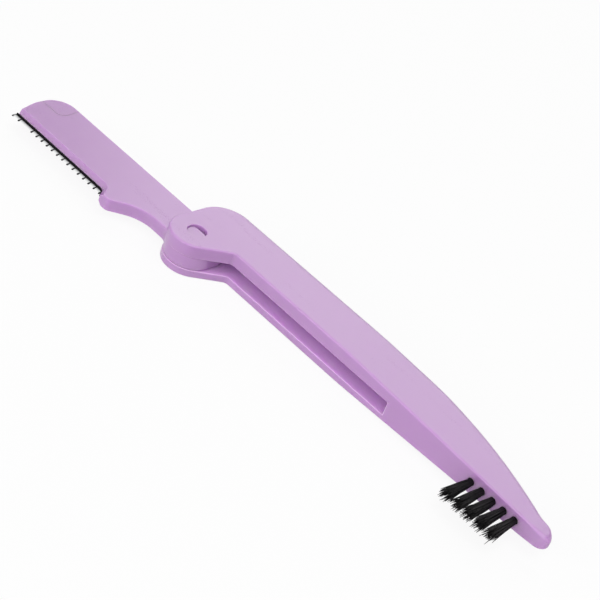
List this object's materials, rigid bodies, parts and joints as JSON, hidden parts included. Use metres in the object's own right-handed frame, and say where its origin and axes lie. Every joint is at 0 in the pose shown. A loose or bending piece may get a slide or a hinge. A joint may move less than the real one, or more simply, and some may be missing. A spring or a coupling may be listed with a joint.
{
  "type": "eyebrow_razor",
  "caption": "Folding eyebrow razor in lilac plastic: a guarded steel blade on an arm that folds into the handle's channel, and a row of bristle tufts in the tail as a brow comb.",
  "frame": {"origin": "under the middle of the open razor's box, in the plane of the handle's back face", "axes": "+X towards the tail, +Y towards the spine, +Z out of the front face, along the pivot axis"},
  "size_m": [0.154, 0.024, 0.008],
  "materials": {
    "lilac_plastic": "soft gloss",
    "blade_steel": "satin",
    "guard_dark": "matte",
    "bristle_nylon": "matte",
    "staple_brass": "plain"
  },
  "bodies": {
    "handle_body": {"handle": "lilac_plastic", "bristle_tuft_1": "bristle_nylon", "bristle_tuft_2": "bristle_nylon", "bristle_tuft_3": "bristle_nylon", "bristle_tuft_4": "bristle_nylon", "bristle_tuft_5": "bristle_nylon", "tuft_staple_1": "staple_brass", "tuft_staple_2": "staple_brass", "tuft_staple_3": "staple_brass", "tuft_staple_4": "staple_brass", "tuft_staple_5": "staple_brass"},
    "arm_body": {"blade_arm": "lilac_plastic", "pivot_pin": "lilac_plastic", "blade": "blade_steel", "blade_guard": "guard_dark", "tip_clip": "lilac_plastic"}
  },
  "joints": [
    {"name": "fold", "type": "hinge", "parent": "handle_body", "child": "arm_body", "pos_m": [-0.02177, -0.0039, 0.0034], "axis": [0, 0, 1], "range_deg": [0, 178]}
  ]
}
